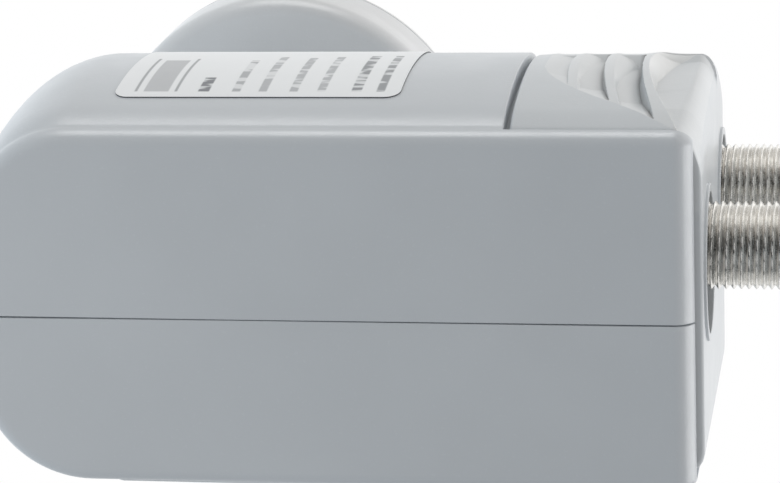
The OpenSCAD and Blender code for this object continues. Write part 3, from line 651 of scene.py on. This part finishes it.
def build_label(mats):
    """Paper label: the housing's own surface lifted by its thickness, with rounded corners and a thin
    edge in the second material."""
    turn = LABEL_CORNER * (1 - np.cos(np.linspace(0, 1.57, 8)))
    y = np.unique(np.concatenate([np.linspace(*LABEL_Y, 70), LABEL_Y[0] + turn, LABEL_Y[1] - turn]))
    edge = np.minimum(y - LABEL_Y[0], LABEL_Y[1] - y)
    k = np.clip(LABEL_CORNER - edge, 0, LABEL_CORNER)
    inset = LABEL_CORNER - np.sqrt(np.clip(LABEL_CORNER ** 2 - k ** 2, 0, None))
    x = label_height(y)
    t = np.gradient(np.stack([x, y], -1), axis=0)
    n = np.stack([t[:, 1], -t[:, 0]], -1)
    n /= np.linalg.norm(n, axis=1)[:, None]
    s = Sheet()
    rows = []
    for u in np.linspace(0, 1, 40):
        z = LABEL_Z[0] + inset + (LABEL_Z[1] - LABEL_Z[0] - 2 * inset) * u
        rows.append(np.stack([x + n[:, 0] * LABEL_T, y + n[:, 1] * LABEL_T, z], -1))
    top = np.stack(rows, 0)
    s.grid(top)
    ring = np.concatenate([top[0], top[1:, -1], top[-1, ::-1][1:], top[::-1, 0][1:-1]], 0)
    low = ring.copy()
    low[:, 0] -= LABEL_T + 0.1
    s.grid(np.stack([ring, low], 0), closed=True, mat=1)
    return s.obj("label_paper", "housing", mats, 30)


# Materials


def new_mat(name, colour, rough, metallic=0.0):
    """A material with its constants on the shader's own sockets."""
    m = bpy.data.materials.new(name)
    m.use_nodes = True
    b = m.node_tree.nodes["Principled BSDF"]
    b.inputs["Base Color"].default_value = (*colour, 1)
    b.inputs["Roughness"].default_value = rough
    b.inputs["Metallic"].default_value = metallic
    b.inputs["IOR"].default_value = 1.46
    return m, m.node_tree, b


def ramp(nt, value, lo, hi, out_lo, out_hi):
    """Maps a value from one range to another and clamps it."""
    r = nt.nodes.new("ShaderNodeMapRange")
    r.inputs["From Min"].default_value = lo
    r.inputs["From Max"].default_value = hi
    r.inputs["To Min"].default_value = out_lo
    r.inputs["To Max"].default_value = out_hi
    nt.links.new(value, r.inputs["Value"])
    return r.outputs["Result"]


def blend_colour(nt, factor, a, b):
    """Mixes two colours, each a triple or a socket."""
    mix = nt.nodes.new("ShaderNodeMix")
    mix.data_type = "RGBA"
    nt.links.new(factor, mix.inputs["Factor"])
    for key, c in (("A", a), ("B", b)):
        if isinstance(c, tuple):
            mix.inputs[key].default_value = (*c, 1)
        else:
            nt.links.new(c, mix.inputs[key])
    return mix.outputs["Result"]


def maths(nt, op, a, b):
    """Joins two values, each a number or a socket."""
    k = nt.nodes.new("ShaderNodeMath")
    k.operation = op
    for i, v in enumerate((a, b)):
        if isinstance(v, float):
            k.inputs[i].default_value = v
        else:
            nt.links.new(v, k.inputs[i])
    return k.outputs[0]


def place_noise(nt, vector, scale, detail, roughness=0.5):
    """Noise on a vector socket; the scale may be a socket too."""
    n = nt.nodes.new("ShaderNodeTexNoise")
    n.inputs["Detail"].default_value = detail
    n.inputs["Roughness"].default_value = roughness
    nt.links.new(vector, n.inputs["Vector"])
    if isinstance(scale, float):
        n.inputs["Scale"].default_value = scale
    else:
        nt.links.new(scale, n.inputs["Scale"])
    return n.outputs["Fac"]


def make_finish():
    """Shared surface effects on object coordinates: cloudy colour between two tones with lighter specks,
    an uneven roughness between two values, and a normal with a fine grain over a broader unevenness."""
    g = bpy.data.node_groups.new("surface_finish", "ShaderNodeTree")
    sockets = (("NodeSocketColor", ("Dark tone", "Light tone", "Speck tone")),
               ("NodeSocketFloat", ("Cloud scale", "Specks", "Gloss scale", "Roughness low", "Roughness high",
                                    "Grain scale", "Grain depth")),
               ("NodeSocketVector", ("Stretch",)))
    for kind, keys in sockets:
        for key in keys:
            g.interface.new_socket(name=key, in_out="INPUT", socket_type=kind)
    for kind, key in (("NodeSocketColor", "Colour"), ("NodeSocketFloat", "Roughness"),
                      ("NodeSocketVector", "Normal")):
        g.interface.new_socket(name=key, in_out="OUTPUT", socket_type=kind)
    src = g.nodes.new("NodeGroupInput").outputs
    dst = g.nodes.new("NodeGroupOutput").inputs
    co = g.nodes.new("ShaderNodeTexCoord")
    mp = g.nodes.new("ShaderNodeMapping")
    g.links.new(co.outputs["Object"], mp.inputs["Vector"])
    g.links.new(src["Stretch"], mp.inputs["Scale"])
    where = mp.outputs["Vector"]
    cloud = ramp(g, place_noise(g, where, src["Cloud scale"], 4.0), 0.3, 0.7, 0.0, 1.0)
    tone = blend_colour(g, cloud, src["Dark tone"], src["Light tone"])
    specks = ramp(g, place_noise(g, where, 2600.0, 1.0), 0.66, 0.74, 0.0, 1.0)
    amount = maths(g, "MULTIPLY", specks, src["Specks"])
    g.links.new(blend_colour(g, amount, tone, src["Speck tone"]), dst["Colour"])
    gloss = ramp(g, place_noise(g, where, src["Gloss scale"], 3.0), 0.3, 0.7, 0.0, 1.0)
    span = gloss.node
    g.links.new(src["Roughness low"], span.inputs["To Min"])
    g.links.new(src["Roughness high"], span.inputs["To Max"])
    g.links.new(gloss, dst["Roughness"])
    coarse = maths(g, "MULTIPLY", src["Grain scale"], 0.27)
    before = None
    for scale, detail, rough in ((src["Grain scale"], 3.0, 0.6), (coarse, 2.0, 0.5)):
        n = g.nodes.new("ShaderNodeBump")
        n.inputs["Strength"].default_value = 1.0
        g.links.new(place_noise(g, where, scale, detail, rough), n.inputs["Height"])
        g.links.new(src["Grain depth"], n.inputs["Distance"])
        if before:
            g.links.new(before, n.inputs["Normal"])
        before = n.outputs["Normal"]
    g.links.new(before, dst["Normal"])
    return g


FINISH = make_finish()


def finished(name, rough, metallic, tones, cloud, gloss, grain, specks=0.0, stretch=(1, 1, 1)):
    """A material with the shared surface effects placed in it: tones are dark, light and speck, cloud a
    scale, gloss a scale and two values, grain a scale and a depth in metres."""
    m, nt, b = new_mat(name, tones[1], rough, metallic)
    f = nt.nodes.new("ShaderNodeGroup")
    f.node_tree = FINISH
    for key, c in zip(("Dark tone", "Light tone", "Speck tone"), tones):
        f.inputs[key].default_value = (*(min(k, 1.0) for k in c), 1)
    for key, v in (("Cloud scale", cloud), ("Specks", specks), ("Gloss scale", gloss[0]),
                   ("Roughness low", gloss[1]), ("Roughness high", gloss[2]), ("Grain scale", grain[0]),
                   ("Grain depth", grain[1])):
        f.inputs[key].default_value = v
    f.inputs["Stretch"].default_value = stretch
    nt.links.new(f.outputs["Colour"], b.inputs["Base Color"])
    nt.links.new(f.outputs["Roughness"], b.inputs["Roughness"])
    nt.links.new(f.outputs["Normal"], b.inputs["Normal"])
    return m, nt, b, f


def shade(colour, k):
    """A colour made darker or lighter."""
    return tuple(c * k for c in colour)


def plastic(name, colour):
    """Moulded plastic: a spark-eroded grain, faint flow clouds and a few lighter handling specks."""
    rough, depth = 0.33, 1.6e-5
    tones = (shade(colour, 0.982), shade(colour, 1.016), shade(colour, 1.25))
    return finished(name, rough, 0.0, tones, 70.0, (240.0, rough - 0.04, rough + 0.05), (3400.0, depth), 0.10)[0]


def metal(name, colour, rough, tarnish=0.12, brushed=(1, 1, 1), depth=4e-6):
    """Bare or plated metal: fine marks in the finish, uneven gloss and a little tarnish."""
    return finished(name, rough, 1.0, (shade(colour, 1 - tarnish), colour, colour), 320.0,
                    (1500.0, rough * 0.75, rough * 1.3), (2600.0, depth), 0.0, brushed)[0]


def matt(name, colour, rough, scale=1400.0, depth=1e-5, vary=0.05):
    """Dull material with uneven colour and a fine broken surface."""
    return finished(name, rough, 0.0, (shade(colour, 1 - vary), shade(colour, 1 + vary), colour), scale * 0.3,
                    (scale, rough - 0.05, min(rough + 0.06, 1.0)), (scale * 1.7, depth))[0]


def board_mat(name):
    """Circuit board: green lacquer over copper tracks that show as lighter bands."""
    lacquer = ((0.045, 0.125, 0.07), (0.055, 0.14, 0.08), (0.06, 0.15, 0.09))
    m, nt, b, f = finished(name, 0.32, 0.0, lacquer, 400.0, (900.0, 0.28, 0.38), (2400.0, 6e-6))
    w = nt.nodes.new("ShaderNodeTexWave")
    w.bands_direction = "Y"
    w.inputs["Scale"].default_value = 130.0
    w.inputs["Distortion"].default_value = 2.5
    w.inputs["Detail"].default_value = 1.0
    nt.links.new(nt.nodes.new("ShaderNodeTexCoord").outputs["Object"], w.inputs["Vector"])
    track = ramp(nt, w.outputs["Fac"], 0.55, 0.62, 0.0, 1.0)
    nt.links.new(blend_colour(nt, track, f.outputs["Colour"], (0.085, 0.21, 0.11)), b.inputs["Base Color"])
    return m


def paint_shade_and_light(m):
    """Pales the base colour by the piece's painted light attribute, then darkens it by its painted shade
    attribute.
    """
    nt = m.node_tree
    base = nt.nodes["Principled BSDF"].inputs["Base Color"]

    def amount(name):
        at = nt.nodes.new("ShaderNodeAttribute")
        at.attribute_name = name
        return at.outputs["Fac"]

    # Painted light: blends towards a pale grey where the hollow's slope is lit.
    lit_colour = blend_colour(nt, amount("painted_light"), base.links[0].from_socket, (0.775, 0.795, 0.80))
    # Painted shade: blends towards a dark brown where the cells' shadows fall.
    painted_shade = ramp(nt, amount("painted_shade"), 0.15, 0.9, 0.0, 0.75)
    nt.links.new(blend_colour(nt, painted_shade, lit_colour, (0.16, 0.155, 0.15)), base)


# Plain bars on the label in millimetres: from and to along z, from and to along y, strength, broken or not
MARKS = (
    (5.55, 5.85, -39.9, -28.0, 0.62, 0), (1.15, 1.45, -39.9, -28.0, 0.62, 0), (2.1, 4.85, -39.9, -28.9, 0.42, 0),
    (-2.35, -1.15, -39.9, -35.9, 0.85, 1), (-5.75, -4.85, -39.9, -29.0, 0.55, 1),
    (-8.65, -7.75, -39.9, -27.0, 0.5, 1), (-12.0, -11.1, -39.9, -27.6, 0.5, 1),
    (-15.0, -14.1, -39.9, -27.0, 0.5, 1), (-18.9, -17.8, -39.9, -26.4, 0.75, 1),
    (-21.4, -20.5, -39.9, -26.4, 0.7, 1),
)
MARK_SOFT = 0.08


def label_mat(name):
    """Label paper with generic plain bars printed on it, some of them broken along the depth by noise.
    Each bar is the product of soft steps at its four sides."""
    sheet = ((0.89, 0.915, 0.93), (0.905, 0.93, 0.945), (0.9, 0.925, 0.94))
    m, nt, b, f = finished(name, 0.55, 0.0, sheet, 270.0, (900.0, 0.5, 0.6), (1530.0, 4e-6))
    co = nt.nodes.new("ShaderNodeTexCoord")
    xyz = nt.nodes.new("ShaderNodeSeparateXYZ")
    nt.links.new(co.outputs["Object"], xyz.inputs[0])
    mp = nt.nodes.new("ShaderNodeMapping")
    mp.inputs["Scale"].default_value = (1.0, 1.0, 0.33)
    nt.links.new(co.outputs["Object"], mp.inputs["Vector"])
    gaps = ramp(nt, place_noise(nt, mp.outputs["Vector"], 900.0, 1.0), 0.42, 0.5, 0.25, 1.0)
    ink = None
    for z0, z1, y0, y1, strength, broken in MARKS:
        mask = None
        for axis, at, sign in (("Z", z0, 1), ("Z", z1, -1), ("Y", y0, 1), ("Y", y1, -1)):
            soft = MARK_SOFT * sign
            step = ramp(nt, xyz.outputs[axis], (at - soft) * MM, (at + soft) * MM, 0.0, 1.0)
            mask = step if mask is None else maths(nt, "MULTIPLY", mask, step)
        if broken:
            mask = maths(nt, "MULTIPLY", mask, gaps)
        mask = maths(nt, "MULTIPLY", mask, strength)
        ink = mask if ink is None else maths(nt, "MAXIMUM", ink, mask)
    nt.links.new(blend_colour(nt, ink, f.outputs["Colour"], (0.13, 0.14, 0.16)), b.inputs["Base Color"])
    return m


grey = plastic("housing_grey", (0.60, 0.635, 0.665))
slide_grey = plastic("slide_grey", (0.63, 0.665, 0.69))
# Painted shade in the grip's cells and painted light on its thumb hollow.
paint_shade_and_light(slide_grey)
cap_grey = plastic("cap_grey", (0.725, 0.745, 0.76))
paper = label_mat("label_paper")
rim_ink = matt("label_edge", (0.10, 0.11, 0.12), 0.6)
nickel = metal("nickel", (0.80, 0.79, 0.76), 0.26)
# Finishes of the pieces that keep the frame's own shapes, by the record's slots
cad_finish = {
    "casting": metal("cast_zinc", (0.55, 0.55, 0.54), 0.48, 0.2, (1, 1, 1), 3e-5),
    "sheet": metal("rolled_sheet", (0.72, 0.73, 0.73), 0.34, 0.1, (1, 1, 9), 6e-6),
    "rubber": matt("seal_rubber", (0.025, 0.025, 0.027), 0.72, 1600.0, 1.2e-5, 0.2),
    "screw_steel": metal("screw_steel", (0.50, 0.51, 0.52), 0.3, 0.15),
    "board": board_mat("board_lacquer"),
    "chip": matt("chip_body", (0.022, 0.022, 0.024), 0.5, 2600.0, 8e-6, 0.15),
    "terminal": metal("terminal_plate", (0.62, 0.48, 0.28), 0.36),
    "ceramic": matt("ceramic_puck", (0.68, 0.60, 0.46), 0.7, 2200.0, 1e-5, 0.06),
    "insulator": matt("insulator_white", (0.86, 0.86, 0.83), 0.4, 1200.0, 6e-6, 0.02),
    "gold": metal("contact_gold", (0.80, 0.60, 0.26), 0.25),
    "housing": grey,
}
for sub in frame["record"]["subparts"]:
    cad = bpy.data.objects.get(sub["node"])
    if cad is not None and cad.type == "MESH" and sub["material_slot"] in cad_finish:
        cad.data.materials.clear()
        cad.data.materials.append(cad_finish[sub["material_slot"]])

label_shell = build_shell("shell_label_side", 1, [grey])
plain_shell = build_shell("shell_plain_side", -1, [grey])
slide = build_slide([slide_grey])
near_out = build_output("output_near_thread", PORT_Y[0], [nickel])
far_out = build_output("output_far_thread", PORT_Y[1], [nickel])
horn_back, horn_front = build_horn([cap_grey])
label_piece = build_label([paper, rim_ink])

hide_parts("label_side_shell")
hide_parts("plain_side_shell")
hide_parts("weather_slide")
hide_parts("output_near")
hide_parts("output_far")
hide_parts("horn_shroud")
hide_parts("horn_cap")
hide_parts("label")

# Floor, world and lamps
FAR, FLOOR_Z = 900, -100
corners = [(-FAR, -FAR, FLOOR_Z), (FAR, -FAR, FLOOR_Z), (FAR, FAR, FLOOR_Z), (-FAR, FAR, FLOOR_Z)]
floor_paint = matt("floor_paint", (0.86, 0.86, 0.86), 0.8, 60.0, 1e-5, 0.01)
floor = put("floor", corners, [(0, 1, 2, 3)], None, [floor_paint], False)
floor.visible_shadow = False
floor.visible_diffuse = False
floor.visible_glossy = False

# The studio as soft light from each side: direction, then colour
SKY = (((0, 0, -1), (1.22, 1.21, 1.21)), ((0, 0, 1), (0.95, 1.03, 1.10)), ((0, 1, 0), (0.90, 0.90, 0.90)),
       ((1, 0, 0), (0.06, 0.03, 0.0)))
# Where shiny surfaces see a dark place towards the front of the studio: direction, limits and colour
DARK_WAY, DARK_LIMITS, DARK = (0.29, -0.94, -0.17), (0.70, 0.90), (0.012, 0.012, 0.012)


def vector_maths(nt, op):
    """A vector node of this kind."""
    k = nt.nodes.new("ShaderNodeVectorMath")
    k.operation = op
    return k


def towards(nt, way, axis):
    """How far a direction lies along an axis."""
    dot = vector_maths(nt, "DOT_PRODUCT")
    dot.inputs[1].default_value = axis
    nt.links.new(way, dot.inputs[0])
    return dot.outputs["Value"]


def sky_light(nt, way):
    """Light from a direction: the sum over the studio's sides of colour times how far the direction lies
    along the side's axis, where that is above nothing."""
    total = None
    for axis, colour in SKY:
        part = vector_maths(nt, "SCALE")
        part.inputs[0].default_value = colour
        nt.links.new(maths(nt, "MAXIMUM", towards(nt, way, axis), 0.0), part.inputs["Scale"])
        if total is None:
            total = part.outputs["Vector"]
        else:
            both = vector_maths(nt, "ADD")
            nt.links.new(total, both.inputs[0])
            nt.links.new(part.outputs["Vector"], both.inputs[1])
            total = both.outputs["Vector"]
    return total


scene = bpy.context.scene
world = bpy.data.worlds.new("world")
scene.world = world
world.use_nodes = True
nt = world.node_tree
background = nt.nodes["Background"]
path = nt.nodes.new("ShaderNodeLightPath")
way = nt.nodes.new("ShaderNodeTexCoord").outputs["Generated"]
light = sky_light(nt, way)
dark = ramp(nt, towards(nt, way, DARK_WAY), *DARK_LIMITS, 0.0, 1.0)
light = blend_colour(nt, path.outputs["Is Glossy Ray"], light, blend_colour(nt, dark, light, DARK))
light = blend_colour(nt, path.outputs["Is Camera Ray"], light, (1, 1, 1))
nt.links.new(light, background.inputs["Color"])
background.inputs["Strength"].default_value = 1.0


def facing(right, up, ahead, at):
    """Matrix of a lamp or camera at a point: its own right, up and backward directions as columns."""
    return Matrix([(right[k], up[k], -ahead[k], at[k]) for k in range(3)] + [(0, 0, 0, 1)])


def lamp(name, place, aim, size, power):
    """Soft square lamp at a place in metres, turned to the aim point."""
    data = bpy.data.lights.new(name, "AREA")
    data.size = size
    data.energy = power
    o = bpy.data.objects.new(name, data)
    scene.collection.objects.link(o)
    p, q = np.array(place, float), np.array(aim, float)
    ahead = (q - p) / np.linalg.norm(q - p)
    up = np.array([0, 0, 1.0]) if abs(ahead[2]) < 0.9 else np.array([1.0, 0, 0])
    right = np.cross(ahead, up)
    right /= np.linalg.norm(right)
    o.matrix_world = facing(right, np.cross(right, ahead), ahead, p)
    o.visible_camera = False
    return o


def only_on(light, *pieces):
    """Keeps a light to these pieces, as a card held close to them does, and to their gloss alone."""
    group = bpy.data.collections.new(light.name + "_pieces")
    for piece in pieces:
        group.objects.link(piece)
    light.light_linking.receiver_collection = group
    light.visible_diffuse = False


lamp("crown_lamp", (0.62, 0.0, -0.02), (0, -0.03, -0.015), 0.4, 0.48)
lamp("rear_fill", (0.0, -0.17, 0.13), (0, -0.048, 0.02), 0.08, 0.062).visible_glossy = False
middle, ends = (0, -0.04, -0.02), (0.006, -0.03, -0.06)
only_on(lamp("edge_strip_top", (0.49, -0.06, 0.04), middle, 0.30, 1.7),
        label_shell, plain_shell, horn_back, horn_front)
only_on(lamp("edge_strip_end", (-0.15, -0.12, -0.50), middle, 0.42, 2.2), label_shell, plain_shell)
only_on(lamp("metal_card_up", (0.42, 0.05, -0.08), ends, 0.50, 0.13), near_out, far_out)
only_on(lamp("metal_card_down", (-0.42, 0.05, -0.08), ends, 0.50, 0.42), near_out, far_out)

cam_data = bpy.data.cameras.new("camera")
cam = bpy.data.objects.new("camera", cam_data)
scene.collection.objects.link(cam)
scene.camera = cam
cam.matrix_world = facing(right=(-0.04126, 0.16457, -0.98550), up=(0.95529, 0.29550, 0.00935),
                          ahead=(-0.29275, 0.94106, 0.16941), at=(0.10069, -0.34445, -0.07622))
cam_data.sensor_width = 36
cam_data.lens = 139.16
cam_data.shift_x = -0.0016
cam_data.shift_y = 0.0055
cam_data.clip_start = 0.01

scene.view_settings.view_transform = "Standard"
